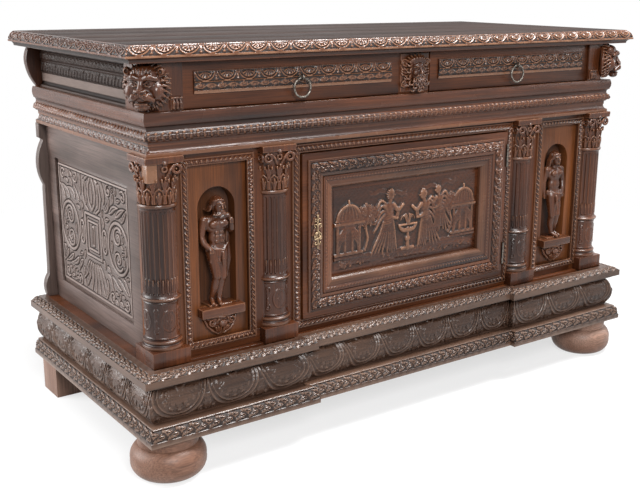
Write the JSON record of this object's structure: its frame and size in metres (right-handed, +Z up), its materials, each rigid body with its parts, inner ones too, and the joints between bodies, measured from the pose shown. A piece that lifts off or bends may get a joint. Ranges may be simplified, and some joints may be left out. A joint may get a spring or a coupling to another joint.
{
  "type": "carved sideboard",
  "caption": "Carved oak sideboard: frieze drawers over a cupboard door, engaged fluted columns, figures in niches, lion masks, a moulded plinth, bun feet in front and block feet behind.",
  "frame": {"origin": "on the floor, under the middle of the whole piece's width and depth", "axes": "+X to the right seen from the front, -Y toward the front, +Z up"},
  "size_m": [1.471, 0.702, 0.9],
  "materials": {
    "case_oak": "dark stained and waxed oak, planed flat, worn to a warmer brown where hands touch it",
    "carved_oak": "dark stained carved oak, waxed, rubbed on the high points and nearly black in the hollows",
    "plain_oak": "unstained oak of the drawer boxes, boards and back",
    "brass": "old unlacquered brass, dulled",
    "iron": "blackened wrought iron, rubbed bright on the edges"
  },
  "bodies": {
    "case": {"back_panel": "plain_oak", "base_frame": "case_oak", "bearded_mask": "carved_oak", "block_feet": "case_oak", "bottom_board": "plain_oak", "bottom_rail": "case_oak", "bun_feet": "case_oak", "case_hinge_leaves": "iron", "column_inner_left": "carved_oak", "column_inner_right": "carved_oak", "column_outer_left": "carved_oak", "column_outer_right": "carved_oak", "corner_posts": "case_oak", "door_surround": "carved_oak", "drawer_divider": "case_oak", "drawer_guides": "plain_oak", "dust_board": "plain_oak", "entablature": "carved_oak", "frieze_sides": "case_oak", "hinge_pins": "iron", "inner_posts": "case_oak", "lion_mask_left": "carved_oak", "lion_mask_right": "carved_oak", "niche_beads": "carved_oak", "niche_brackets": "carved_oak", "niche_figure_left": "carved_oak", "niche_figure_right": "carved_oak", "niche_panels": "case_oak", "plinth_base_moulding": "carved_oak", "plinth_cap_moulding": "carved_oak", "plinth_frieze": "carved_oak", "rear_pilasters": "case_oak", "rear_scrolls": "case_oak", "side_frame_left": "case_oak", "side_frame_right": "case_oak", "side_panel_left": "carved_oak", "side_panel_right": "carved_oak", "top_board": "case_oak", "top_moulding": "carved_oak", "top_rail": "case_oak"},
    "drawer_left": {"drawer_front_left": "case_oak", "drawer_panel_left": "carved_oak", "drawer_box_left": "plain_oak", "drawer_floor_left": "plain_oak", "ring_staple_left": "iron"},
    "drawer_right": {"drawer_front_right": "case_oak", "drawer_panel_right": "carved_oak", "drawer_box_right": "plain_oak", "drawer_floor_right": "plain_oak", "ring_staple_right": "iron"},
    "ring_left": {"ring_pull_left": "iron"},
    "ring_right": {"ring_pull_right": "iron"},
    "door": {"door_frame": "case_oak", "door_panel": "carved_oak", "door_outer_moulding": "carved_oak", "door_inner_moulding": "carved_oak", "escutcheon": "brass", "door_hinge_leaves": "iron", "lock_case": "iron"},
    "bolt": {"lock_bolt": "iron"}
  },
  "joints": [
    {"name": "drawer_left_slide", "type": "slide", "parent": "case", "child": "drawer_left", "axis": [0, -1, 0], "range_m": [0, 0.35]},
    {"name": "drawer_right_slide", "type": "slide", "parent": "case", "child": "drawer_right", "axis": [0, -1, 0], "range_m": [0, 0.35]},
    {"name": "ring_left_hinge", "type": "hinge", "parent": "drawer_left", "child": "ring_left", "pos_m": [-0.3205, -0.29075, 0.8218], "axis": [-1, 0, 0], "range_deg": [-15, 160]},
    {"name": "ring_right_hinge", "type": "hinge", "parent": "drawer_right", "child": "ring_right", "pos_m": [0.3205, -0.29075, 0.8218], "axis": [-1, 0, 0], "range_deg": [-15, 160]},
    {"name": "door_hinge", "type": "hinge", "parent": "case", "child": "door", "pos_m": [0.313, -0.27795, 0.4665], "axis": [0, 0, 1], "range_deg": [0, 105]},
    {"name": "lock_bolt_slide", "type": "slide", "parent": "door", "child": "bolt", "axis": [-1, 0, 0], "range_m": [0, 0.012]}
  ]
}
